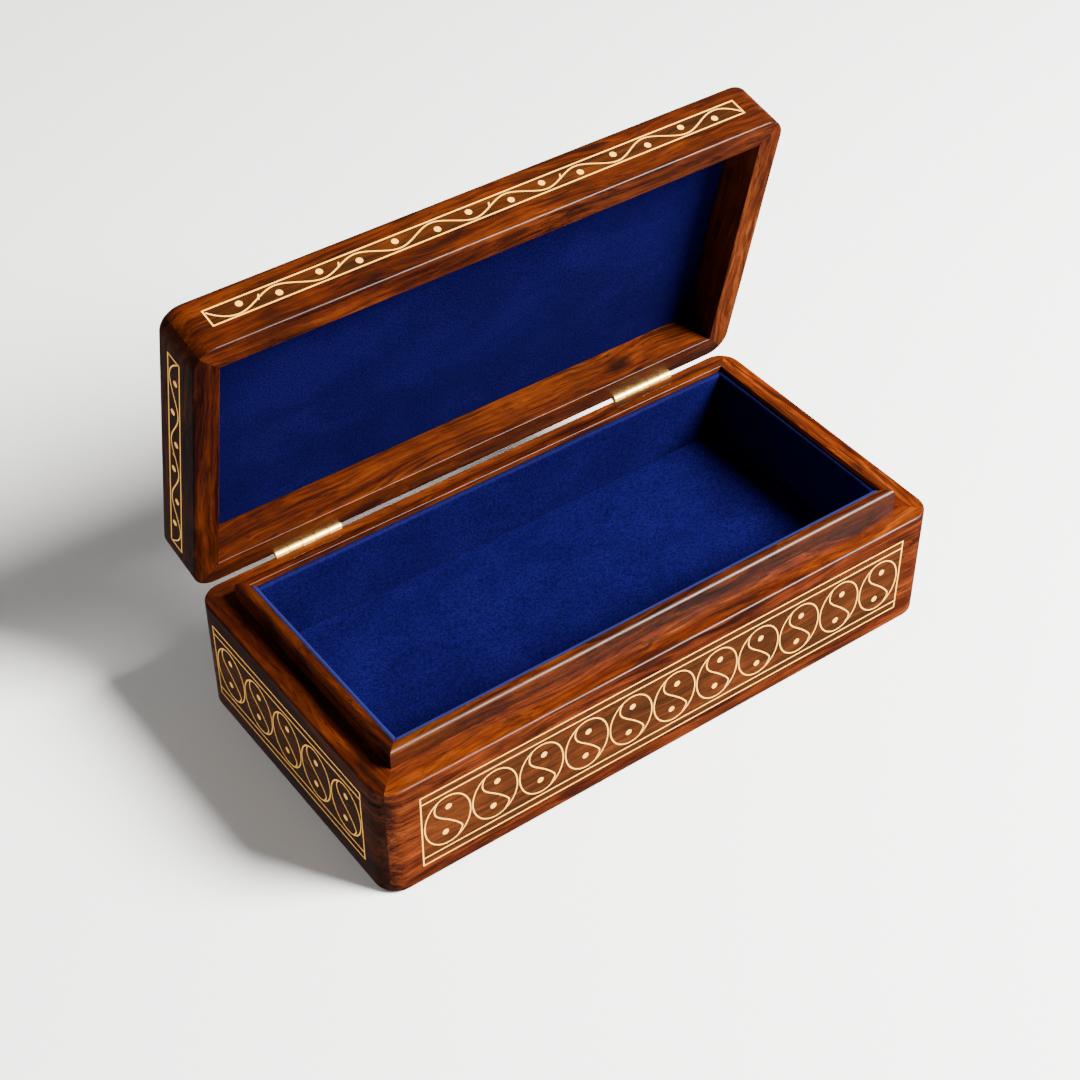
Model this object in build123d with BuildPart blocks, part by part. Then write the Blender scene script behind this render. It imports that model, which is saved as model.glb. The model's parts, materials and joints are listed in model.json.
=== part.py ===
from build123d import *
import math
import os

# Hinged keepsake box of solid rosewood, inlaid with brass wire and lined with velvet.
# Origin: centre of the base's underside. +X runs along the box to its right-hand end, +Y to the
# hinged back and +Z up. The lid is drawn shut and then swung open about the hinge line.

# ---- driving dimensions, mm ----
LENGTH = 254.0
WIDTH = 127.0
BASE_HEIGHT = 52.5
LID_HEIGHT = 24.7
RIM_GAP = 0.3
WALL = 11.0
RAIL = 10.3
LINER = 4.2
LIP_HEIGHT = 7.4
CORNER_RADIUS = 9.0
FOOT_RADIUS = 2.2
RIM_RADIUS = 1.0
LID_RIM_RADIUS = 0.7
LID_EDGE_RADIUS = 3.0
LIP_EDGE_RADIUS = 1.8
ARRIS = 0.4
OPEN_ANGLE = 78.0

# ---- floor and velvet ----
BOTTOM_BOARD = 6.0
BEARER_WIDTH = 10.0
FLOOR_BOARD = 4.0
FLOOR_PAD = 4.0
FLOOR_TOP = 29.0
VELVET = 2.2
VELVET_BELOW_LIP = {"front": 0.8, "back": 2.3, "left": 0.6, "right": 2.0}
VELVET_EDGE_RADIUS = 0.9
LID_PANEL = 7.9
LID_VELVET = 1.8

# ---- brass inlay ----
WIRE = 0.55
WIRE_DEPTH = 0.8
DOT_RADIUS = 1.3
HAND = 0.35
BAND_BOTTOM = 8.7
BAND_TOP = 44.3
BAND_STEP = 3.8
LONG_BAND_INSET = 14.9
SIDE_BAND_FRONT_INSET = 14.5
SIDE_BAND_BACK_INSET = 10.6
LONG_PITCH = 20.2
SIDE_PITCH = 20.05
ROUNDEL_HALF_WIDTH = 9.95
ROUNDEL_HALF_HEIGHT = 12.3
ROUNDEL_DOT_RISE = 6.2
ROUNDEL_DOT_SLIP = 0.8
LONG_ROUNDELS = 11
SIDE_ROUNDELS = 5
TOP_ROUNDELS = 9
VINE_BOTTOM = 9.0
VINE_TOP = 17.1
VINE_INSET = 12.8
VINE_SWING = 2.6
VINE_DOT_RISE = 1.0
THORN = 2.4
TOP_BAND_INSET = 13.0

# ---- hinges ----
HINGE_LENGTH = 29.0
HINGE_CENTRES = {"left": -78.0, "right": 83.0}
KNUCKLES = 5
KNUCKLE_RADIUS = 1.4
KNUCKLE_GAP = 0.3
KNUCKLE_SET_BACK = 0.5
PIN_RADIUS = 0.7
PIN_CLEARANCE = 0.05
LEAF = 0.9
LEAF_HEIGHT = 8.0
SCREW_SPACING = 16.0
SCREW_RADIUS = 0.8
SCREW_HEAD_RADIUS = 1.6
SCREW_LENGTH = 6.0
SCREW_SLOT = 0.4

# ---- sizes that follow from them ----
LID_BOTTOM = BASE_HEIGHT + RIM_GAP
LID_TOP = LID_BOTTOM + LID_HEIGHT
LIP_TOP = BASE_HEIGHT + LIP_HEIGHT
FLOOR_BOARD_TOP = FLOOR_TOP - FLOOR_PAD
FLOOR_BOARD_BOTTOM = FLOOR_BOARD_TOP - FLOOR_BOARD
BAND_MIDDLE = (BAND_BOTTOM + BAND_TOP) / 2
VINE_MIDDLE = LID_BOTTOM + (VINE_BOTTOM + VINE_TOP) / 2
HINGE_Y = WIDTH / 2 + KNUCKLE_SET_BACK
HINGE_Z = BASE_HEIGHT + RIM_GAP / 2
HINGE_LINE = Axis((0, HINGE_Y, HINGE_Z), (1, 0, 0))
LEAF_MIDDLE = RIM_GAP / 2 + LEAF_HEIGHT / 2
KNUCKLE = (HINGE_LENGTH - KNUCKLE_GAP * (KNUCKLES - 1)) / KNUCKLES
KNUCKLE_STEP = KNUCKLE + KNUCKLE_GAP

FACES = {
    "front": Plane(origin=(0, -WIDTH / 2, 0), x_dir=(1, 0, 0), z_dir=(0, -1, 0)),
    "back": Plane(origin=(0, WIDTH / 2, 0), x_dir=(-1, 0, 0), z_dir=(0, 1, 0)),
    "left": Plane(origin=(-LENGTH / 2, 0, 0), x_dir=(0, -1, 0), z_dir=(-1, 0, 0)),
    "right": Plane(origin=(LENGTH / 2, 0, 0), x_dir=(0, 1, 0), z_dir=(1, 0, 0)),
}

os.makedirs("parts", exist_ok=True)


def save(part, name):
    """Write one finished piece of the base."""
    part.label = name
    export_step(part, f"parts/{name}.step")


def save_on_lid(part, name):
    """Swing one finished piece of the lid open about the hinge line and write it."""
    save(part.rotate(HINGE_LINE, -OPEN_ANGLE), name)


# ---------------------------------------------------------------- boards and mitres


def rounded_frame(height, thickness, bottom, low_radius, high_radius):
    """A rectangular frame standing on z = bottom, with its outer edges rounded over."""
    with BuildPart() as frame:
        with BuildSketch(Plane.XY.offset(bottom)):
            RectangleRounded(LENGTH, WIDTH, CORNER_RADIUS)
        extrude(amount=height)
        fillet(frame.edges().group_by(Axis.Z)[0], low_radius)
        fillet(frame.edges().group_by(Axis.Z)[-1], high_radius)
        with BuildSketch(Plane.XY.offset(bottom)):
            Rectangle(LENGTH - 2 * thickness, WIDTH - 2 * thickness)
        extrude(amount=height, mode=Mode.SUBTRACT)
        fillet(frame.faces().sort_by(Axis.Z)[0].inner_wires()[0].edges(), ARRIS)
    return frame.part


def mitre_wedge(side):
    """The outline, in plan, that one side of a frame fills between its two mitre cuts."""
    reach = LENGTH / 2 + RIM_GAP
    depth = WIDTH / 2 + RIM_GAP
    ends = reach - depth
    outlines = {
        "front": [(-reach, -depth), (reach, -depth), (ends, 0), (-ends, 0)],
        "back": [(-reach, depth), (-ends, 0), (ends, 0), (reach, depth)],
        "left": [(-reach, -depth), (-ends, 0), (-reach, depth)],
        "right": [(reach, -depth), (reach, depth), (ends, 0)],
    }
    with BuildSketch() as wedge:
        with BuildLine():
            Polyline(*outlines[side], close=True)
        make_face()
    return wedge.sketch


def mitred_side(frame, side):
    """One side of a frame, cut off at both ends along its mitres."""
    with BuildPart() as board:
        add(frame)
        with BuildSketch():
            add(mitre_wedge(side))
        extrude(amount=LID_TOP, mode=Mode.INTERSECT)
    return board.part


# ---------------------------------------------------------------- inlay drawings


def hand(place, kind):
    """A small slip of the hand, from -HAND to HAND, that is the same at every build."""
    return HAND * math.sin(7.3 * place + 2.9 * kind + 1.7 * place * kind)


def band_drawing(left, right, bottom, top):
    """Border of a band of roundels: a rectangle, and a second line inside its long sides."""
    middle = (left + right) / 2
    with BuildSketch() as drawing:
        with Locations((middle, (bottom + top) / 2)):
            Rectangle(right - left, top - bottom)
            Rectangle(right - left - 2 * WIRE, top - bottom - 2 * WIRE, mode=Mode.SUBTRACT)
        with Locations((middle, bottom + BAND_STEP), (middle, top - BAND_STEP)):
            Rectangle(right - left - WIRE, WIRE)
    return drawing.sketch


def roundel_drawing(centres):
    """Oval rings side by side, each with a wire curling through it from top to bottom."""
    with BuildSketch() as drawing:
        for place, (x, y) in enumerate(centres):
            width = ROUNDEL_HALF_WIDTH - abs(hand(place, 1)) / 4
            height = ROUNDEL_HALF_HEIGHT + hand(place, 2) / 2
            bend = 0.56 * (width - WIRE / 2)
            reach = height - WIRE / 2
            sway = hand(place, 3) / 2
            with Locations((x, y)):
                Ellipse(width, height)
                Ellipse(width - WIRE, height - WIRE, mode=Mode.SUBTRACT)
            with BuildLine():
                Spline(
                    (x - 0.75 * bend, y + 0.9 * reach),
                    (x - bend + sway, y + 0.5 * reach),
                    (x + sway, y - sway),
                    (x + bend + sway, y - 0.5 * reach),
                    (x + 0.75 * bend, y - 0.9 * reach),
                    tangents=[(-0.75, -1), (-0.75, -1)],
                )
            trace(line_width=WIRE)
    return drawing.sketch


def dot_drawing(centres):
    """Round brass pins set flush in the wood."""
    with BuildSketch() as drawing:
        with Locations(*centres):
            Circle(DOT_RADIUS)
    return drawing.sketch


def roundel_centres(count, pitch, middle, height):
    """Centres of a row of roundels."""
    first = middle - pitch * (count - 1) / 2
    return [(first + pitch * place, height) for place in range(count)]


def roundel_dots(centres):
    """The pin above and the pin below the middle of each roundel."""
    dots = []
    for place, (x, y) in enumerate(centres):
        dots.append((x + ROUNDEL_DOT_SLIP + hand(place, 4), y + ROUNDEL_DOT_RISE + hand(place, 5)))
        dots.append((x - ROUNDEL_DOT_SLIP + hand(place, 6), y - ROUNDEL_DOT_RISE + hand(place, 7)))
    return dots


def frame_drawing(half_length, middle, half_height):
    """Plain rectangular border of a vine."""
    with BuildSketch() as drawing:
        with Locations((0, middle)):
            Rectangle(2 * half_length, 2 * half_height)
            Rectangle(2 * (half_length - WIRE), 2 * (half_height - WIRE), mode=Mode.SUBTRACT)
    return drawing.sketch


def vine_turns(half_length, waves):
    """Where the vine turns, trough and crest by turns, from left to right."""
    half_wave = (2 * half_length - THORN) / (2 * waves + 0.4)
    first = -half_length + 0.7 * half_wave + THORN / 2
    return [first + half_wave * turn + 2 * hand(turn, 9) for turn in range(2 * waves)]


def vine_drawing(half_length, waves, thorns):
    """A wire waving along a band, with a short thorn where one length of wire meets the next."""
    turns = vine_turns(half_length, waves)
    low = VINE_MIDDLE - VINE_SWING
    high = VINE_MIDDLE + VINE_SWING
    points = [(-half_length + 1.5 * WIRE, high)]
    for turn, x in enumerate(turns):
        points.append((x, (high if turn % 2 else low) + hand(turn, 8) / 2))
    points += [(half_length - 1.5 * WIRE, low)]
    with BuildSketch() as drawing:
        with BuildLine():
            Spline(*points)
        trace(line_width=WIRE)
        for wave in thorns:
            foot = (turns[2 * wave] + turns[2 * wave + 1]) / 2 - WIRE
            with BuildLine():
                Line((foot, VINE_MIDDLE - WIRE), (foot + THORN / 2, VINE_MIDDLE + THORN / 2 + WIRE))
            trace(line_width=WIRE)
    return drawing.sketch


def vine_dots(half_length, waves):
    """A pin in the hollow of each trough and under each crest."""
    dots = []
    for turn, x in enumerate(vine_turns(half_length, waves)):
        rise = -VINE_DOT_RISE if turn % 2 else VINE_DOT_RISE
        dots.append((x, VINE_MIDDLE + rise))
    return dots


def inlay(face, drawing):
    """Brass let into a face, flush with it."""
    with BuildPart() as brass:
        with BuildSketch(face):
            add(drawing)
        extrude(amount=-WIRE_DEPTH)
    return brass.part


def grooved(blank, face, drawings):
    """A board with a groove in its face for each piece of brass."""
    with BuildPart() as board:
        add(blank)
        for drawing in drawings.values():
            with BuildSketch(face):
                add(drawing)
            extrude(amount=-WIRE_DEPTH, mode=Mode.SUBTRACT)
    return board.part


# ---------------------------------------------------------------- hinges


def hinge_section(centre):
    """The plane across a hinge at its left-hand end, with the hinge line at its origin."""
    return Plane(origin=(centre - HINGE_LENGTH / 2, HINGE_Y, HINGE_Z), x_dir=(0, 1, 0), z_dir=(1, 0, 0))


def leaf(centre, own_knuckles, bore, side):
    """One leaf of a butt hinge; side is -1 for the leaf on the base and 1 for the one on the lid."""
    section = hinge_section(centre)
    face = -KNUCKLE_SET_BACK
    edge = side * RIM_GAP / 2
    with BuildPart() as brass:
        with BuildSketch(section):
            with Locations((face - LEAF / 2, edge + side * LEAF_HEIGHT / 2)):
                Rectangle(LEAF, LEAF_HEIGHT)
        extrude(amount=HINGE_LENGTH)
        with BuildSketch(section):
            Circle(KNUCKLE_RADIUS + KNUCKLE_GAP)
        extrude(amount=HINGE_LENGTH, mode=Mode.SUBTRACT)
        for place in own_knuckles:
            with BuildSketch(section.offset(place * KNUCKLE_STEP)):
                Circle(KNUCKLE_RADIUS)
                with Locations(((face - LEAF) / 2, side * (KNUCKLE_RADIUS - LEAF / 2))):
                    Rectangle(LEAF - face, LEAF)
                with Locations((face - LEAF / 2, side * KNUCKLE_RADIUS)):
                    Rectangle(LEAF, LEAF)
            extrude(amount=KNUCKLE)
        with BuildSketch(section):
            Circle(bore)
        extrude(amount=HINGE_LENGTH, mode=Mode.SUBTRACT)
        with Locations(*screw_places(centre, side)):
            CounterSinkHole(SCREW_RADIUS, SCREW_HEAD_RADIUS, LEAF)
    return brass.part


def screw_places(centre, side):
    """Locations on the leaf's face, looking out of the wood, for its two screws."""
    height = HINGE_Z + side * LEAF_MIDDLE
    face = Plane(origin=(centre, WIDTH / 2, height), x_dir=(-1, 0, 0), z_dir=(0, 1, 0))
    return [face.location * Location((offset, 0, 0)) for offset in (-SCREW_SPACING / 2, SCREW_SPACING / 2)]


def screws(centre, side):
    """Two small countersunk screws, each with a straight slot across its head."""
    cone = SCREW_HEAD_RADIUS - SCREW_RADIUS
    with BuildPart() as brass:
        with Locations(*screw_places(centre, side)):
            with Locations((0, 0, -SCREW_LENGTH / 2)):
                Cylinder(SCREW_RADIUS, SCREW_LENGTH)
            with Locations((0, 0, -cone / 2)):
                Cone(SCREW_RADIUS, SCREW_HEAD_RADIUS, cone)
            Box(2 * SCREW_HEAD_RADIUS, SCREW_SLOT, SCREW_SLOT, mode=Mode.SUBTRACT)
    return brass.part


def let_in_hinge(board, centre, side):
    """Cut the pocket for a leaf, the hollow for the knuckles and the screw holes out of a board."""
    leaf_face = Plane(
        origin=(centre, WIDTH / 2, HINGE_Z + side * LEAF_MIDDLE), x_dir=(-1, 0, 0), z_dir=(0, 1, 0)
    )
    with BuildPart() as cut:
        add(board)
        with BuildSketch(leaf_face):
            Rectangle(HINGE_LENGTH, LEAF_HEIGHT)
        extrude(amount=-LEAF, mode=Mode.SUBTRACT)
        with BuildSketch(hinge_section(centre).offset(-KNUCKLE_GAP)):
            Circle(KNUCKLE_RADIUS + KNUCKLE_GAP)
        extrude(amount=HINGE_LENGTH + 2 * KNUCKLE_GAP, mode=Mode.SUBTRACT)
        with Locations(*screw_places(centre, side)):
            with Locations((0, 0, -SCREW_LENGTH / 2)):
                Cylinder(SCREW_RADIUS, SCREW_LENGTH, mode=Mode.SUBTRACT)
    return cut.part


# ---------------------------------------------------------------- brass drawings for each face

long_centres = roundel_centres(LONG_ROUNDELS, LONG_PITCH, 0, BAND_MIDDLE)
side_shift = (SIDE_BAND_FRONT_INSET - SIDE_BAND_BACK_INSET) / 2
side_middle = {"left": -side_shift, "right": side_shift}
side_half = (WIDTH - SIDE_BAND_FRONT_INSET - SIDE_BAND_BACK_INSET) / 2
long_half = LENGTH / 2 - LONG_BAND_INSET
vine_half_height = (VINE_TOP - VINE_BOTTOM) / 2

base_drawings = {}
for side in ("front", "back"):
    base_drawings[side] = {
        "border": band_drawing(-long_half, long_half, BAND_BOTTOM, BAND_TOP),
        "roundels": roundel_drawing(long_centres),
        "dots": dot_drawing(roundel_dots(long_centres)),
    }
for side in ("left", "right"):
    middle = side_middle[side]
    side_centres = roundel_centres(SIDE_ROUNDELS, SIDE_PITCH, middle, BAND_MIDDLE)
    base_drawings[side] = {
        "border": band_drawing(middle - side_half, middle + side_half, BAND_BOTTOM, BAND_TOP),
        "roundels": roundel_drawing(side_centres),
        "dots": dot_drawing(roundel_dots(side_centres)),
    }

lid_drawings = {}
for side, span, waves, thorns in (
    ("front", LENGTH, 7, (0, 1, 3, 4)),
    ("back", LENGTH, 7, (2, 5)),
    ("left", WIDTH, 3, (1,)),
    ("right", WIDTH, 3, (1,)),
):
    half = span / 2 - VINE_INSET
    lid_drawings[side] = {
        "border": frame_drawing(half, VINE_MIDDLE, vine_half_height),
        "vine": vine_drawing(half, waves, thorns),
        "dots": dot_drawing(vine_dots(half, waves)),
    }

# ---------------------------------------------------------------- base: walls and their brass

base_frame = rounded_frame(BASE_HEIGHT, WALL, 0, FOOT_RADIUS, RIM_RADIUS)
for side, face in FACES.items():
    wall = grooved(mitred_side(base_frame, side), face, base_drawings[side])
    for kind, drawing in base_drawings[side].items():
        save(inlay(face, drawing), f"base_{side}_{kind}")
    if side == "back":
        for centre in HINGE_CENTRES.values():
            wall = let_in_hinge(wall, centre, -1)
    save(wall, f"base_{side}_wall")

# ---------------------------------------------------------------- base: liner strips that make the lip

liner_outer_length = LENGTH - 2 * WALL
liner_outer_width = WIDTH - 2 * WALL
with BuildPart() as liner_frame:
    with BuildSketch(Plane.XY.offset(BOTTOM_BOARD)):
        Rectangle(liner_outer_length, liner_outer_width)
    extrude(amount=LIP_TOP - BOTTOM_BOARD)
    fillet(liner_frame.faces().sort_by(Axis.Z)[-1].edges(), LIP_EDGE_RADIUS)
    with BuildSketch(Plane.XY.offset(BOTTOM_BOARD)):
        Rectangle(liner_outer_length - 2 * LINER, liner_outer_width - 2 * LINER)
    extrude(amount=LIP_TOP - BOTTOM_BOARD, mode=Mode.SUBTRACT)
    fillet(liner_frame.faces().sort_by(Axis.Z)[-1].inner_wires()[0].edges(), ARRIS)

for side in FACES:
    save(mitred_side(liner_frame.part, side), f"base_{side}_liner")
    with BuildPart() as velvet_frame:
        with BuildSketch(Plane.XY.offset(BOTTOM_BOARD)):
            Rectangle(liner_outer_length - 2 * LINER, liner_outer_width - 2 * LINER)
            Rectangle(
                liner_outer_length - 2 * (LINER + VELVET),
                liner_outer_width - 2 * (LINER + VELVET),
                mode=Mode.SUBTRACT,
            )
        extrude(amount=LIP_TOP - VELVET_BELOW_LIP[side] - BOTTOM_BOARD)
        fillet(velvet_frame.faces().sort_by(Axis.Z)[-1].inner_wires()[0].edges(), VELVET_EDGE_RADIUS)
    save(mitred_side(velvet_frame.part, side), f"base_{side}_lining")

# ---------------------------------------------------------------- base: bottom and raised floor

with BuildPart() as bottom_board:
    with BuildSketch():
        Rectangle(liner_outer_length, liner_outer_width)
    extrude(amount=BOTTOM_BOARD)
save(bottom_board.part, "base_bottom_board")

floor_length = liner_outer_length - 2 * (LINER + VELVET)
floor_width = liner_outer_width - 2 * (LINER + VELVET)
with BuildPart() as floor_bearers:
    with BuildSketch(Plane.XY.offset(BOTTOM_BOARD)):
        with GridLocations(0, floor_width - BEARER_WIDTH, 1, 2):
            Rectangle(floor_length, BEARER_WIDTH)
    extrude(amount=FLOOR_BOARD_BOTTOM - BOTTOM_BOARD)
save(floor_bearers.part, "floor_bearers")

with BuildPart() as floor_board:
    with BuildSketch(Plane.XY.offset(FLOOR_BOARD_BOTTOM)):
        Rectangle(floor_length, floor_width)
    extrude(amount=FLOOR_BOARD)
save(floor_board.part, "floor_board")

with BuildPart() as floor_lining:
    with BuildSketch(Plane.XY.offset(FLOOR_BOARD_TOP)):
        Rectangle(floor_length, floor_width)
    extrude(amount=FLOOR_PAD)
    fillet(floor_lining.faces().sort_by(Axis.Z)[-1].edges(), VELVET_EDGE_RADIUS)
save(floor_lining.part, "floor_lining")

# ---------------------------------------------------------------- lid: rails and their brass

lid_frame = rounded_frame(LID_HEIGHT, RAIL, LID_BOTTOM, LID_RIM_RADIUS, LID_EDGE_RADIUS)
for side, face in FACES.items():
    rail = grooved(mitred_side(lid_frame, side), face, lid_drawings[side])
    for kind, drawing in lid_drawings[side].items():
        save_on_lid(inlay(face, drawing), f"lid_{side}_{kind}")
    if side == "back":
        for centre in HINGE_CENTRES.values():
            rail = let_in_hinge(rail, centre, 1)
    save_on_lid(rail, f"lid_{side}_rail")

# ---------------------------------------------------------------- lid: top panel, its brass, its velvet

panel_length = LENGTH - 2 * RAIL
panel_width = WIDTH - 2 * RAIL
with BuildPart() as panel_blank:
    with BuildSketch(Plane.XY.offset(LID_TOP - LID_PANEL)):
        Rectangle(panel_length, panel_width)
    extrude(amount=LID_PANEL)

lid_top = Plane.XY.offset(LID_TOP)
top_centres = roundel_centres(TOP_ROUNDELS, LONG_PITCH, 0, 0)
top_half_length = panel_length / 2 - TOP_BAND_INSET
top_half_width = panel_width / 2 - TOP_BAND_INSET
top_drawings = {
    "border": band_drawing(-top_half_length, top_half_length, -top_half_width, top_half_width),
    "roundels": roundel_drawing(top_centres),
    "dots": dot_drawing(roundel_dots(top_centres)),
}
for kind, drawing in top_drawings.items():
    save_on_lid(inlay(lid_top, drawing), f"lid_top_{kind}")
save_on_lid(grooved(panel_blank.part, lid_top, top_drawings), "lid_top_panel")

with BuildPart() as lid_lining:
    with BuildSketch(Plane.XY.offset(LID_TOP - LID_PANEL - LID_VELVET)):
        Rectangle(panel_length, panel_width)
    extrude(amount=LID_VELVET)
    fillet(lid_lining.faces().sort_by(Axis.Z)[0].edges(), VELVET_EDGE_RADIUS)
save_on_lid(lid_lining.part, "lid_lining")

# ---------------------------------------------------------------- hinges

even_knuckles = range(0, KNUCKLES, 2)
odd_knuckles = range(1, KNUCKLES, 2)
for name, centre in HINGE_CENTRES.items():
    save(leaf(centre, even_knuckles, PIN_RADIUS, -1), f"{name}_hinge_base_leaf")
    save_on_lid(leaf(centre, odd_knuckles, PIN_RADIUS + PIN_CLEARANCE, 1), f"{name}_hinge_lid_leaf")
    save(screws(centre, -1), f"{name}_hinge_base_screws")
    save_on_lid(screws(centre, 1), f"{name}_hinge_lid_screws")
    with BuildPart() as pin:
        with BuildSketch(hinge_section(centre)):
            Circle(PIN_RADIUS)
        extrude(amount=HINGE_LENGTH)
    save(pin.part, f"{name}_hinge_pin")

print("lid turns about y", round(HINGE_Y, 3), "z", round(HINGE_Z, 3), "mm")
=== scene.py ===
import json
import math

import bmesh
import bpy
from mathutils import Matrix, Vector, noise


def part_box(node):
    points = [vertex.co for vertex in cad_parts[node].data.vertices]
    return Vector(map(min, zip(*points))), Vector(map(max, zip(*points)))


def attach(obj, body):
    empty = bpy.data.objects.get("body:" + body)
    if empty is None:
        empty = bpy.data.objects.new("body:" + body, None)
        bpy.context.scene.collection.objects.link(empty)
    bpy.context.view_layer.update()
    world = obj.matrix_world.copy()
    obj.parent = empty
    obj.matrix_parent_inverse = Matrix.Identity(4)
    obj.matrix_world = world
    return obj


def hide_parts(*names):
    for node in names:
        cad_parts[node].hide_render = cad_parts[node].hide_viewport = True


# Inlaid rosewood box, standing open: finishes for the CAD boards, wires and hinges, soft velvet
# linings in place of the plain CAD ones, a pale studio floor, lights and the camera.

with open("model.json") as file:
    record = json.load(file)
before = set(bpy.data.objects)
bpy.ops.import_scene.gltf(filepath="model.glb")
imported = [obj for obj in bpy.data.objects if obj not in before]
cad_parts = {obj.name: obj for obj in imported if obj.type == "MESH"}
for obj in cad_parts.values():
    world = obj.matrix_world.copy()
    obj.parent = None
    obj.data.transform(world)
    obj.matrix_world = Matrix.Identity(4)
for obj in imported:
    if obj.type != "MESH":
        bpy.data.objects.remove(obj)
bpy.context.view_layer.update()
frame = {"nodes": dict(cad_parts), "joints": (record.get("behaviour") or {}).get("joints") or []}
NODES = frame["nodes"]
MM = 0.001

# ---- where the lid turns ----
hinge = frame["joints"][0]
PIVOT = Vector(hinge["pos_m"])
OPEN_ANGLE = -math.radians(hinge["range_deg"][0])
OPENING = Matrix.Translation(PIVOT) @ Matrix.Rotation(-OPEN_ANGLE, 4, "X") @ Matrix.Translation(-PIVOT)
CLOSING = OPENING.inverted()

# ---- camera: m and degrees, with the azimuth from the front; the lens and sensor in mm ----
CAMERA_TARGET = Vector((-0.0081, 0.0098, 0.055))
CAMERA_DISTANCE = 0.8244
CAMERA_AZIMUTH = -35.77
CAMERA_ELEVATION = 41.96
CAMERA_ROLL = -0.25
CAMERA_LENS = 72.5
CAMERA_SENSOR = 36.0

# ---- studio: m and watts ----
FLOOR_HALF = 6.0
FLOOR_DROP = 0.1 * MM
PAPER = ((0.67, 0.67, 0.67), (0.69, 0.69, 0.69))
LIGHT_TARGET = (0, 0.02, 0.07)
KEY_PLACE = (0.86, -0.92, 1.10)
KEY_SIZE = 0.80
KEY_POWER = 310.0
KEY_COLOUR = (1.0, 0.98, 0.95)
FILL_PLACE = (-1.35, 0.22, 0.30)
FILL_SIZE = 0.60
FILL_POWER = 16.0
FILL_COLOUR = (1.0, 0.97, 0.92)
WORLD_STRENGTH = 0.17

# ---- wood: how light it is on each side's base wall, lip and lid rail ----
# Partly the wood's own tone and partly painted light and shade: each side is set lighter or darker for
# how the light falls on it, most of all the dark left side and the light right wall.
BOARD_TONES_AND_PAINTED_LIGHT = {
    "front": (0.69, 0.30, 0.43),
    "back": (0.60, 0.44, 0.39),
    "left": (0.36, 0.28, 0.30),
    "right": (1.04, 0.60, 0.56),
}
# Each group of boards is cut from another stretch of the tree.
WALL_CUT = 1.3
LIP_CUT = 7.7
RAIL_CUT = 13.1
TOP_CUT = 21.5
CUT_SHIFT = (331.0, 57.0, 23.0)
# Layers of the wood's shade, coarse to fine: (texture scale along, across and through the board,
# per mm), detail, roughness and share. The last is the fibre, which also gives the relief.
GRAIN = (
    ((0.004, 0.035, 0.05), 3.0, 0.55, 0.30),
    ((0.007, 0.16, 0.22), 4.0, 0.6, 0.26),
    ((0.026, 0.50, 0.66), 3.0, 0.6, 0.30),
    ((0.07, 1.3, 1.7), 2.0, 0.6, 0.14),
)
GRAIN_DRIFT = 20.0
HEARTWOOD = [
    (0.38, (0.0070, 0.0008, 0.0002)),
    (0.45, (0.0310, 0.0040, 0.0004)),
    (0.50, (0.0610, 0.0094, 0.0007)),
    (0.55, (0.0980, 0.0172, 0.0012)),
    (0.63, (0.1600, 0.0360, 0.0028)),
]
SHIMMER = [(0.34, (0.74, 0.74, 0.74)), (0.66, (1.24, 1.22, 1.18))]
PORE_COLOUR = (0.006, 0.0014, 0.0005)
VEIN_COLOUR = (0.008, 0.0014, 0.0004)
BAND_COLOUR = (0.030, 0.0125, 0.0024)
BAND_MARGIN = 0.3
# A small dark knot in the lid's back rail, in mm with the lid shut, and how far the grain swells.
LID_KNOT = (74.0, 53.2, 60.0)
KNOT_COLOUR = (0.007, 0.0012, 0.0005)
KNOT_FLATTEN = 0.55
KNOT_REACH = 13.0
KNOT_SWELL = 5.0
BOARD_PALE = [(0.35, (0.22, 0.10, 0.04)), (0.62, (0.42, 0.23, 0.11))]
BOARD_FIBRE = [(0.3, (0.78, 0.76, 0.74)), (0.65, (1.08, 1.08, 1.08))]

# ---- brass: colour and how much of it shows as bare metal ----
INLAY_BRASS = ((0.82, 0.41, 0.062), 0.30)
HINGE_BRASS = ((0.80, 0.52, 0.14), 0.70)
BRASS_ROUGHNESS = 0.42
BRASS_ROUGHNESS_SWING = 0.08
TARNISH = 0.25
TARNISH_DARKNESS = 0.55

# ---- velvet ----
VELVET_BLUES = [
    (0.36, (0.0017, 0.00092, 0.0180)),
    (0.50, (0.0019, 0.00105, 0.0205)),
    (0.64, (0.0023, 0.00128, 0.0240)),
]
VELVET_TUFTS = [(0.34, (0.52, 0.52, 0.58)), (0.66, (1.52, 1.52, 1.42))]
VELVET_SHIFT = (91.0, 47.0, 17.0)
# Colour of the painted highlight along the linings' folded top edges.
FOLD_HIGHLIGHT_COLOUR = (0.0085, 0.0105, 0.052)
# The painted highlight along the folded top edge starts and is full this far below the top of the
# lining, in mm.
FOLD_HIGHLIGHT_START = 0.9
FOLD_HIGHLIGHT_FULL = 0.25
# Each wall lining: (sign of its wall's side, axis it runs along: 0 is x and 1 is y), strength of
# the painted highlight along its folded top edge.
WALL_LININGS = {
    "front": ((-1, 0), 0.85),
    "back": ((1, 0), 0.2),
    "left": ((-1, 1), 0.85),
    "right": ((1, 1), 0.2),
}
# Painted shade: the wall and lid linings are darker copies of the floor's velvet, for the light they
# get.
WALL_LINING_PAINTED_SHADE = 0.88
LID_LINING_PAINTED_SHADE = 0.73

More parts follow.
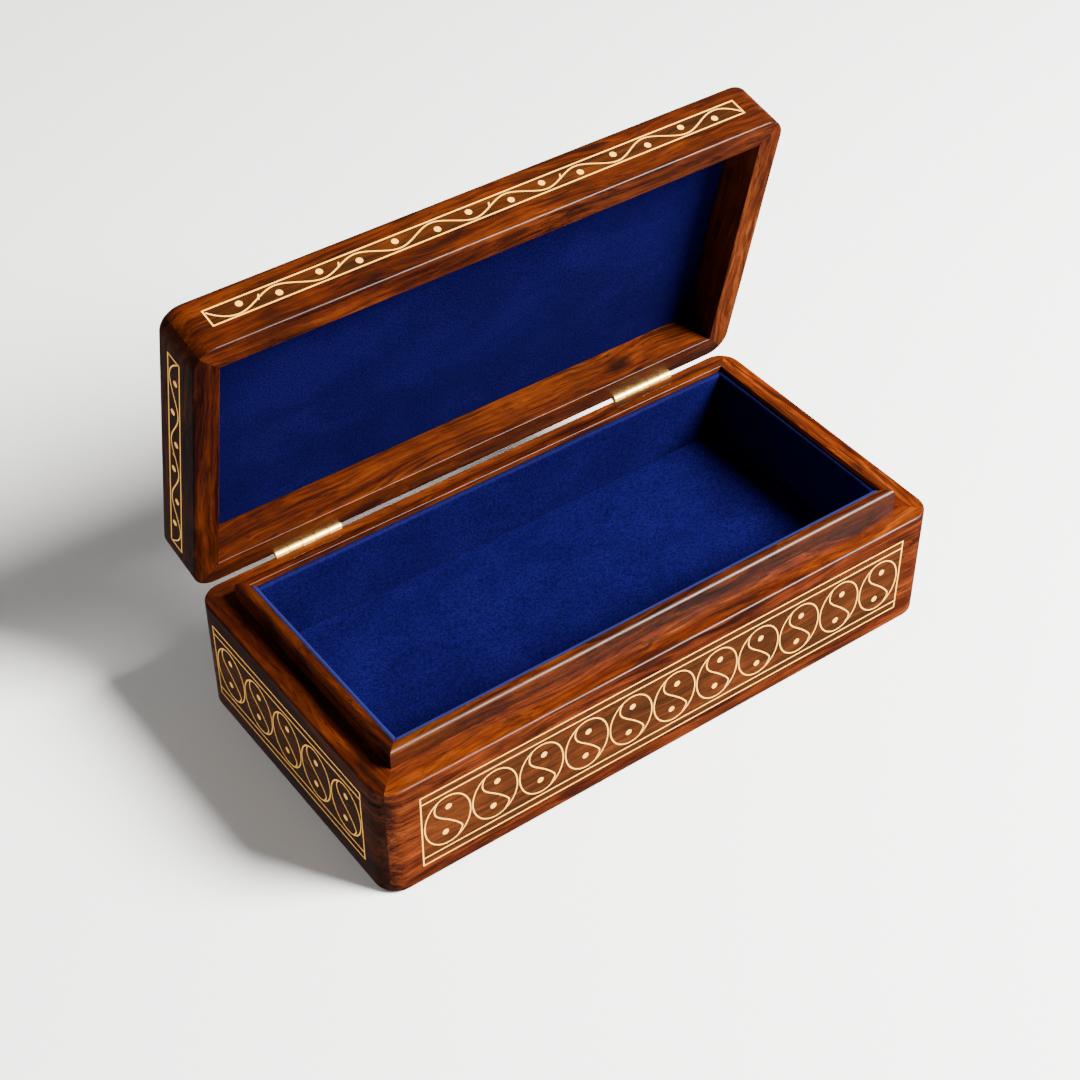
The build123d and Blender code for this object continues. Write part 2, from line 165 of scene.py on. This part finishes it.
# ---- shape of the soft linings: lengths in m, ripples per m, counts of mesh steps ----
WALL_EDGE = 1.1 * MM
WALL_WAVE = 0.28 * MM
WALL_SINK = 0.6
WALL_FADE = 8 * MM
WALL_RIPPLES_ALONG = 30.0
WALL_RIPPLES_UP = 38.0
WALL_STATIONS = 120
WALL_ROWS = 30
WALL_ARC = 6
WALL_EASE = 0.5
FLOOR_EDGE = 1.6 * MM
FLOOR_WAVE = 0.25 * MM
LID_EDGE = 1.4 * MM
LID_WAVE = 0.30 * MM
SLAB_FADE = 6 * MM
SLAB_RIPPLES = 28.0
SLAB_ALONG = 150
SLAB_ACROSS = 72
SLAB_EASE = 0.9


# ---------------------------------------------------------------- shader helpers


class Shader:
    """A material's node tree, with short calls to add and join nodes."""

    def __init__(self, name):
        self.material = bpy.data.materials.new(name)
        self.material.use_nodes = True
        self.tree = self.material.node_tree
        self.tree.nodes.clear()
        self.output = self.tree.nodes.new("ShaderNodeOutputMaterial")
        self.surface = self.tree.nodes.new("ShaderNodeBsdfPrincipled")
        self.join(self.surface.outputs[0], self.output.inputs["Surface"])

    def join(self, out_socket, in_socket):
        self.tree.links.new(out_socket, in_socket)

    def feed(self, socket, value):
        """Link a socket to another, or set it to a value."""
        if isinstance(value, bpy.types.NodeSocket):
            self.join(value, socket)
        else:
            socket.default_value = value

    def feed_colour(self, socket, colour):
        """Link a colour socket to another, or set it to a red, green and blue."""
        linked = isinstance(colour, bpy.types.NodeSocket)
        self.feed(socket, colour if linked else (*colour, 1.0))

    def set(self, **values):
        """Set or link inputs of the surface shader by name, with _ for a space."""
        for key, value in values.items():
            self.feed(self.surface.inputs[key.replace("_", " ")], value)

    def place(self, lid=False):
        """Coordinates on the object in mm, with the lid's shut."""
        coords = self.tree.nodes.new("ShaderNodeTexCoord").outputs["Object"]
        if lid:
            coords = self.moved(coords, CLOSING.translation, (OPEN_ANGLE, 0, 0))
        return self.moved(coords, scale=(1 / MM,) * 3)

    def moved(self, vector, location=(0, 0, 0), rotation=(0, 0, 0), scale=(1, 1, 1)):
        mapping = self.tree.nodes.new("ShaderNodeMapping")
        self.join(vector, mapping.inputs["Vector"])
        mapping.inputs["Location"].default_value = location
        mapping.inputs["Rotation"].default_value = rotation
        mapping.inputs["Scale"].default_value = scale
        return mapping.outputs[0]

    def noise(self, vector, scale=1.0, detail=2.0, roughness=0.5, distortion=0.0, colour=False):
        texture = self.tree.nodes.new("ShaderNodeTexNoise")
        self.join(vector, texture.inputs["Vector"])
        texture.inputs["Scale"].default_value = scale
        texture.inputs["Detail"].default_value = detail
        texture.inputs["Roughness"].default_value = roughness
        texture.inputs["Distortion"].default_value = distortion
        return texture.outputs["Color" if colour else "Fac"]

    def math(self, operation, a, b):
        step = self.tree.nodes.new("ShaderNodeMath")
        step.operation = operation
        self.feed(step.inputs[0], a)
        self.feed(step.inputs[1], b)
        return step.outputs[0]

    def vector_math(self, operation, a, b):
        step = self.tree.nodes.new("ShaderNodeVectorMath")
        step.operation = operation
        self.feed(step.inputs[0], a)
        self.feed(step.inputs["Scale" if operation == "SCALE" else 1], b)
        return step.outputs[0]

    def distance(self, a, b):
        gap = self.tree.nodes.new("ShaderNodeVectorMath")
        gap.operation = "DISTANCE"
        self.feed(gap.inputs[0], a)
        self.feed(gap.inputs[1], b)
        return gap.outputs["Value"]

    def split(self, vector):
        parts = self.tree.nodes.new("ShaderNodeSeparateXYZ")
        self.join(vector, parts.inputs[0])
        return parts.outputs

    def span(self, value, low, high, to_low=0.0, to_high=1.0):
        """Map low..high to to_low..to_high, held at the ends."""
        fit = self.tree.nodes.new("ShaderNodeMapRange")
        self.feed(fit.inputs["Value"], value)
        fit.inputs["From Min"].default_value = low
        fit.inputs["From Max"].default_value = high
        fit.inputs["To Min"].default_value = to_low
        fit.inputs["To Max"].default_value = to_high
        return fit.outputs[0]

    def ramp(self, value, stops):
        ramp = self.tree.nodes.new("ShaderNodeValToRGB")
        self.join(value, ramp.inputs[0])
        elements = ramp.color_ramp.elements
        while len(elements) < len(stops):
            elements.new(0.5)
        for element, (position, colour) in zip(elements, stops):
            element.position = position
            element.color = (*colour, 1.0)
        return ramp.outputs[0]

    def mix(self, factor, a, b, blend="MIX"):
        mix = self.tree.nodes.new("ShaderNodeMix")
        mix.data_type = "RGBA"
        mix.blend_type = blend
        self.feed(mix.inputs["Factor"], factor)
        self.feed_colour(mix.inputs["A"], a)
        self.feed_colour(mix.inputs["B"], b)
        return mix.outputs["Result"]

    def tint(self, colour, by):
        """Multiply a colour by another, or by a number."""
        return self.mix(1.0, colour, (by,) * 3 if isinstance(by, float) else by, "MULTIPLY")

    def bump(self, height, strength, distance):
        bump = self.tree.nodes.new("ShaderNodeBump")
        bump.inputs["Strength"].default_value = strength
        bump.inputs["Distance"].default_value = distance
        self.join(height, bump.inputs["Height"])
        return bump.outputs[0]


def paint(obj, material):
    obj.data.materials.clear()
    obj.data.materials.append(material)


# ---------------------------------------------------------------- rosewood


def rosewood(name, along_y=False, lid=False, cut=0.0, tone=1.0, band=None, knot=None):
    """Polished rosewood: brown-black streaks in red-brown heartwood, running along the board.

    band is the box of the brass let into the board, in mm, where the wood is a little greener;
    knot is the middle of a small dark knot that the grain flows round.
    """
    wood = Shader(name)
    spot = wood.place(lid)
    turn = (0, 0, math.pi / 2) if along_y else (0, 0, 0)
    board = wood.moved(spot, [cut * shift for shift in CUT_SHIFT], turn)

    drift = wood.noise(wood.moved(board, scale=(0.009, 0.028, 0.028)), detail=3.0, colour=True)
    drift = wood.vector_math("SUBTRACT", drift, (0.5, 0.5, 0.5))
    drift = wood.vector_math("MULTIPLY", drift, (0.0, GRAIN_DRIFT, GRAIN_DRIFT))
    grain = wood.vector_math("ADD", board, drift)
    if knot is not None:
        x, y, z = knot
        flat = wood.moved(spot, scale=(KNOT_FLATTEN, 1.0, 1.0))
        heart = wood.distance(flat, (x * KNOT_FLATTEN, y, z))
        swell = wood.span(heart, 0.0, KNOT_REACH, KNOT_SWELL, 0.0)
        grain = wood.vector_math("ADD", grain, wood.vector_math("SCALE", (0.0, 0.7, 0.7), swell))

    shade = 0.0
    for stretch, detail, roughness, share in GRAIN:
        fibre = wood.noise(wood.moved(grain, scale=stretch), detail=detail, roughness=roughness)
        shade = wood.math("ADD", shade, wood.math("MULTIPLY", fibre, share))
    vein = wood.noise(wood.moved(grain, (7.0, 3.0, 5.0), scale=(0.016, 0.42, 0.60)), detail=2.0)
    pores = wood.noise(wood.moved(grain, scale=(0.14, 2.2, 2.8)), detail=1.0)
    figure = wood.noise(wood.moved(board, scale=(0.06, 0.035, 0.035)), detail=2.0)

    colour = wood.tint(wood.ramp(shade, HEARTWOOD), wood.ramp(figure, SHIMMER))
    dash = wood.span(pores, 0.60, 0.67)
    colour = wood.mix(wood.math("MULTIPLY", dash, 0.60), colour, PORE_COLOUR)
    line = wood.span(vein, 0.585, 0.66)
    colour = wood.mix(wood.math("MULTIPLY", line, 0.70), colour, VEIN_COLOUR)
    if band is not None:
        near = wood.vector_math("SUBTRACT", spot, [low - BAND_MARGIN for low in band[0]])
        far = wood.vector_math("SUBTRACT", [high + BAND_MARGIN for high in band[1]], spot)
        inside = wood.split(wood.vector_math("MINIMUM", near, far))
        least = wood.math("MINIMUM", wood.math("MINIMUM", inside[0], inside[1]), inside[2])
        within = wood.math("GREATER_THAN", least, 0.0)
        colour = wood.mix(wood.math("MULTIPLY", within, 0.45), colour, BAND_COLOUR)
    if knot is not None:
        colour = wood.mix(wood.span(heart, 1.6, 4.6, 0.85, 0.0), colour, KNOT_COLOUR)
    # tone lightens or darkens the whole board: partly the wood's own tone, partly painted light and
    # shade.
    colour = wood.tint(colour, tone)

    relief = wood.math("SUBTRACT", wood.math("MULTIPLY", fibre, 0.5), wood.math("MULTIPLY", dash, 0.6))
    wood.set(
        Base_Color=colour,
        Roughness=wood.span(fibre, 0.3, 0.7, 0.44, 0.32),
        Specular_IOR_Level=0.10,
        Coat_Weight=0.05,
        Coat_Roughness=0.26,
        Coat_IOR=1.45,
        Normal=wood.bump(relief, 0.35, 0.00006),
    )
    return wood.material


def plain_board(name):
    """Pale sanded board, for the underside and what holds up the velvet floor."""
    wood = Shader(name)
    spot = wood.place()
    rings = wood.noise(wood.moved(spot, scale=(0.006, 0.12, 0.12)), detail=4.0, distortion=0.4)
    fibre = wood.noise(wood.moved(spot, scale=(0.06, 1.8, 1.8)), detail=2.0)
    colour = wood.tint(wood.ramp(rings, BOARD_PALE), wood.ramp(fibre, BOARD_FIBRE))
    wood.set(Base_Color=colour, Roughness=0.62, Normal=wood.bump(fibre, 0.4, 0.00008))
    return wood.material


# ---------------------------------------------------------------- brass


def brass(name, alloy, lid):
    """Brass sanded flush with the wood, or a pressed hinge, with a little tarnish."""
    colour, metallic = alloy
    metal = Shader(name)
    spot = metal.place(lid)
    cloud = metal.noise(metal.moved(spot, scale=(0.16, 0.16, 0.16)), detail=3.0)
    scratch = metal.noise(metal.moved(spot, scale=(1.1, 7.0, 7.0)), detail=2.0)
    dull = tuple(part * TARNISH_DARKNESS for part in colour)
    stain = metal.span(cloud, 0.48, 0.72, 0.0, TARNISH)
    smooth = BRASS_ROUGHNESS - BRASS_ROUGHNESS_SWING
    rough = BRASS_ROUGHNESS + BRASS_ROUGHNESS_SWING
    metal.set(
        Base_Color=metal.mix(stain, colour, dull),
        Metallic=metallic,
        Roughness=metal.span(scratch, 0.3, 0.7, smooth, rough),
        Normal=metal.bump(scratch, 0.25, 0.00004),
    )
    return metal.material


# ---------------------------------------------------------------- velvet


def velvet(name, lid=False, seed=0.0, tone=1.0, fold_highlight=None):
    """Royal blue velvet: a fine speckled pile, faintly cloudy where the nap lies another way.

    fold_highlight is (height in mm, strength) of the edge that the cloth is folded over, where a pale
    line is painted: a painted highlight where the opened pile would catch the light.
    """
    cloth = Shader(name)
    place = cloth.place(lid)
    spot = cloth.moved(place, [seed * shift for shift in VELVET_SHIFT])
    drape = cloth.moved(spot, scale=(0.030, 0.045, 0.045))
    cloud = cloth.noise(drape, detail=4.0, roughness=0.6, distortion=0.6)
    speckle = cloth.noise(cloth.moved(spot, scale=(1.25, 1.25, 1.25)), detail=2.0, roughness=0.65)
    pile = cloth.noise(cloth.moved(spot, scale=(3.4, 3.4, 3.4)), detail=1.0)
    colour = cloth.tint(cloth.ramp(cloud, VELVET_BLUES), cloth.ramp(speckle, VELVET_TUFTS))
    # tone darkens the wall and lid linings: painted shade.
    colour = cloth.tint(colour, tone)
    if fold_highlight is not None:
        height, strength = fold_highlight
        # Painted highlight: a pale line along the folded top edge of the lining.
        rise = cloth.split(place)[2]
        painted_highlight = cloth.span(rise, height - FOLD_HIGHLIGHT_START, height - FOLD_HIGHLIGHT_FULL, 0.0, strength)
        colour = cloth.mix(painted_highlight, colour, FOLD_HIGHLIGHT_COLOUR)
    relief = cloth.math("ADD", cloth.math("MULTIPLY", speckle, 0.6), cloth.math("MULTIPLY", pile, 0.4))
    cloth.set(
        Base_Color=colour,
        Roughness=0.95,
        Specular_IOR_Level=0.0,
        Sheen_Weight=0.012,
        Sheen_Roughness=0.35,
        Sheen_Tint=(0.20, 0.30, 1.0, 1.0),
        Normal=cloth.bump(relief, 0.55, 0.00035),
    )
    return cloth.material


# ---------------------------------------------------------------- soft linings


def mesh_object(name, verts, faces):
    mesh = bpy.data.meshes.new(name)
    mesh.from_pydata([tuple(point) for point in verts], [], faces)
    shape = bmesh.new()
    shape.from_mesh(mesh)
    bmesh.ops.recalc_face_normals(shape, faces=shape.faces)
    shape.to_mesh(mesh)
    shape.free()
    obj = bpy.data.objects.new(name, mesh)
    bpy.context.scene.collection.objects.link(obj)
    for face in mesh.polygons:
        face.use_smooth = True
    return obj


def steps(low, high, count, ease):
    """count + 1 values from low to high, closer together at both ends when ease is above 0."""
    values = []
    for place in range(count + 1):
        t = place / count
        t = t - ease * math.sin(2 * math.pi * t) / (2 * math.pi)
        values.append(low + (high - low) * t)
    return values


def soft_slab(name, low, high, face_up, radius, wave, seed, to_frame):
    """A thin pad between two corners in its own frame, with one rounded, gently wavy face.

    The pad lies in x and y. face_up is 1 when its soft face looks along +z and -1 along -z.
    """
    xs = steps(low.x, high.x, SLAB_ALONG, SLAB_EASE)
    ys = steps(low.y, high.y, SLAB_ACROSS, SLAB_EASE)
    back = low.z if face_up > 0 else high.z
    thick = high.z - low.z
    verts = []
    for x in xs:
        for y in ys:
            edge = min(x - low.x, high.x - x, y - low.y, high.y - y)
            short = max(0.0, radius - edge)
            drop = radius - math.sqrt(max(0.0, radius * radius - short * short))
            ripple = noise.noise(Vector((x * SLAB_RIPPLES + seed, y * SLAB_RIPPLES, seed))) * wave
            fade = min(1.0, edge / SLAB_FADE)
            height = thick - drop - wave * fade + ripple * fade
            verts.append(Vector((x, y, back + face_up * height)))
    rows = len(ys)
    faces = []
    for i in range(len(xs) - 1):
        for j in range(rows - 1):
            faces.append((i * rows + j, i * rows + j + 1, (i + 1) * rows + j + 1, (i + 1) * rows + j))
    rim = [(i, 0) for i in range(len(xs))]
    rim += [(len(xs) - 1, j) for j in range(1, rows)]
    rim += [(i, rows - 1) for i in range(len(xs) - 2, -1, -1)]
    rim += [(0, j) for j in range(rows - 2, 0, -1)]
    first = len(verts)
    for i, j in rim:
        verts.append(Vector((xs[i], ys[j], back)))
    count = len(rim)
    for k in range(count):
        i, j = rim[k]
        p, q = rim[(k + 1) % count]
        faces.append((i * rows + j, p * rows + q, first + (k + 1) % count, first + k))
    faces.append(tuple(range(first, first + count)))
    return mesh_object(name, [to_frame @ point for point in verts], faces)


def wall_profile(thick, bottom, top, radius):
    """(depth from the wall, height) round a wall pad's section, with its top edge rounded."""
    profile = [(0.0, bottom), (thick, bottom)]
    profile += [(thick, z) for z in steps(bottom, top - radius, WALL_ROWS, 0.0)[1:]]
    for step in range(1, WALL_ARC + 1):
        angle = math.pi / 2 * step / WALL_ARC
        depth = thick - radius + radius * math.cos(angle)
        profile.append((depth, top - radius + radius * math.sin(angle)))
    profile.append((0.0, top))
    return profile


def wall_pad(name, node, outward, length_axis, radius, wave, seed):
    """A velvet-covered card against one wall, mitred at both ends, with a rounded top edge."""
    low, high = (Vector(corner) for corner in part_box(node))
    thin_axis = 1 - length_axis
    thick = high[thin_axis] - low[thin_axis]
    wall = high[thin_axis] if outward > 0 else low[thin_axis]
    half = (high[length_axis] - low[length_axis]) / 2
    middle = (high[length_axis] + low[length_axis]) / 2
    profile = wall_profile(thick, low.z, high.z, radius)
    stations = steps(-1.0, 1.0, WALL_STATIONS, WALL_EASE)
    verts = []
    for s in stations:
        for depth, z in profile:
            if depth > thick * 0.5 and z < high.z - radius * 0.2:
                along = s * half * WALL_RIPPLES_ALONG + seed
                place = noise.noise(Vector((along, z * WALL_RIPPLES_UP, seed * 2.0)))
                ends = min(1.0, (1 - abs(s)) * half / WALL_FADE)
                depth = depth - wave * WALL_SINK * ends + place * wave * ends
            point = Vector((0, 0, z))
            point[length_axis] = middle + s * (half - depth)
            point[thin_axis] = wall - outward * depth
            verts.append(point)
    ring = len(profile)
    faces = []
    for i in range(len(stations) - 1):
        for j in range(ring):
            k = (j + 1) % ring
            faces.append((i * ring + j, i * ring + k, (i + 1) * ring + k, (i + 1) * ring + j))
    faces.append(tuple(range(ring)))
    faces.append(tuple((len(stations) - 1) * ring + j for j in range(ring)))
    return mesh_object(name, verts, faces)


def shut_box(node):
    """(lowest, highest) corner of a lid node with the lid shut."""
    points = [CLOSING @ vertex.co for vertex in NODES[node].data.vertices]
    low = Vector([min(point[axis] for point in points) for axis in range(3)])
    high = Vector([max(point[axis] for point in points) for axis in range(3)])
    return low, high


def upholster():
    """Replace every plain CAD lining with its soft velvet piece."""
    for index, (side, ((outward, length_axis), strength)) in enumerate(WALL_LININGS.items()):
        node = f"base_{side}_lining"
        name = f"velvet_{side}"
        pad = wall_pad(name, node, outward, length_axis, WALL_EDGE, WALL_WAVE, 3.7 * index)
        fold_highlight = (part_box(node)[1][2] / MM, strength)
        cloth = velvet(name, seed=1.0 + index, tone=WALL_LINING_PAINTED_SHADE, fold_highlight=fold_highlight)
        finish_soft(pad, node, "base", cloth)
    low, high = (Vector(corner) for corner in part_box("floor_lining"))
    floor_pad = soft_slab("velvet_floor", low, high, 1, FLOOR_EDGE, FLOOR_WAVE, 11.0, Matrix.Identity(4))
    finish_soft(floor_pad, "floor_lining", "base", velvet("velvet_floor", seed=6.0))
    low, high = shut_box("lid_lining")
    lid_pad = soft_slab("velvet_lid", low, high, -1, LID_EDGE, LID_WAVE, 23.0, OPENING)
    lid_cloth = velvet("velvet_lid", lid=True, seed=8.0, tone=LID_LINING_PAINTED_SHADE)
    finish_soft(lid_pad, "lid_lining", "lid", lid_cloth)


def finish_soft(pad, node, body, material):
    paint(pad, material)
    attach(pad, body)
    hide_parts(node)


# ---------------------------------------------------------------- finishes for the CAD nodes


def brass_extent(node, lid):
    """(lowest, highest) corner of a wire border in mm, with the lid shut."""
    low, high = shut_box(node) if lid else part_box(node)
    return [value / MM for value in low], [value / MM for value in high]


def finish_boards():
    for index, (side, (wall_tone, lip_tone, rail_tone)) in enumerate(BOARD_TONES_AND_PAINTED_LIGHT.items()):
        along_y = side in ("left", "right")
        band = brass_extent(f"base_{side}_border", False)
        wall = rosewood(f"rosewood_{side}", along_y, cut=WALL_CUT + index, tone=wall_tone, band=band)
        paint(NODES[f"base_{side}_wall"], wall)
        liner = rosewood(f"rosewood_{side}_lip", along_y, cut=LIP_CUT + index, tone=lip_tone)
        paint(NODES[f"base_{side}_liner"], liner)
        band = brass_extent(f"lid_{side}_border", True)
        knot = LID_KNOT if side == "back" else None
        rail = rosewood(f"rosewood_lid_{side}", along_y, True, RAIL_CUT + index, rail_tone, band, knot)
        paint(NODES[f"lid_{side}_rail"], rail)
    paint(NODES["lid_top_panel"], rosewood("rosewood_lid_top", lid=True, cut=TOP_CUT))
    board = plain_board("plain_board")
    for node in ("base_bottom_board", "floor_board", "floor_bearers"):
        paint(NODES[node], board)


def finish_brass():
    inlay = {
        False: brass("brass_inlay", INLAY_BRASS, False),
        True: brass("brass_inlay_lid", INLAY_BRASS, True),
    }
    fitting = {
        False: brass("brass_hinge", HINGE_BRASS, False),
        True: brass("brass_hinge_lid", HINGE_BRASS, True),
    }
    for name, node in NODES.items():
        lid = name.startswith("lid_") or "_hinge_lid_" in name
        if name.endswith(("_border", "_roundels", "_dots", "_vine")):
            paint(node, inlay[lid])
        elif "_hinge_" in name:
            paint(node, fitting[lid])


# ---------------------------------------------------------------- stage


def camera():
    azimuth = math.radians(CAMERA_AZIMUTH)
    elevation = math.radians(CAMERA_ELEVATION)
    back = Vector(
        (
            math.sin(azimuth) * math.cos(elevation),
            -math.cos(azimuth) * math.cos(elevation),
            math.sin(elevation),
        )
    )
    data = bpy.data.cameras.new("camera")
    data.lens = CAMERA_LENS
    data.sensor_width = CAMERA_SENSOR
    obj = bpy.data.objects.new("camera", data)
    bpy.context.scene.collection.objects.link(obj)
    roll = Matrix.Rotation(math.radians(CAMERA_ROLL), 3, "Z")
    turn = back.to_track_quat("Z", "Y").to_matrix() @ roll
    obj.matrix_world = Matrix.Translation(CAMERA_TARGET + back * CAMERA_DISTANCE) @ turn.to_4x4()
    bpy.context.scene.camera = obj


def area_light(name, place, size, power, colour):
    data = bpy.data.lights.new(name, "AREA")
    data.shape = "DISK"
    data.size = size
    data.energy = power
    data.color = colour
    obj = bpy.data.objects.new(name, data)
    bpy.context.scene.collection.objects.link(obj)
    obj.location = place
    obj.rotation_euler = (Vector(LIGHT_TARGET) - Vector(place)).to_track_quat("-Z", "Y").to_euler()
    return obj


def studio():
    """Pale paper floor, a large key light from the front right and a low fill from the left.

    The floor and the fill don't show in glossy reflections, which would turn the polish grey.
    """
    corners = [(-1, -1), (1, -1), (1, 1), (-1, 1)]
    verts = [Vector((x * FLOOR_HALF, y * FLOOR_HALF, -FLOOR_DROP)) for x, y in corners]
    floor = mesh_object("studio_floor", verts, [(0, 1, 2, 3)])
    paper = Shader("studio_paper")
    tooth = paper.noise(paper.place(), scale=0.4, detail=2.0)
    paper.set(Base_Color=paper.mix(tooth, *PAPER), Roughness=0.9)
    paint(floor, paper.material)
    floor.visible_glossy = False
    area_light("key", KEY_PLACE, KEY_SIZE, KEY_POWER, KEY_COLOUR)
    fill = area_light("fill", FILL_PLACE, FILL_SIZE, FILL_POWER, FILL_COLOUR)
    fill.visible_glossy = False
    world = bpy.data.worlds.new("studio_world")
    world.use_nodes = True
    background = world.node_tree.nodes["Background"]
    background.inputs["Color"].default_value = (1, 1, 1, 1)
    background.inputs["Strength"].default_value = WORLD_STRENGTH
    bpy.context.scene.world = world


finish_boards()
finish_brass()
upholster()
camera()
studio()
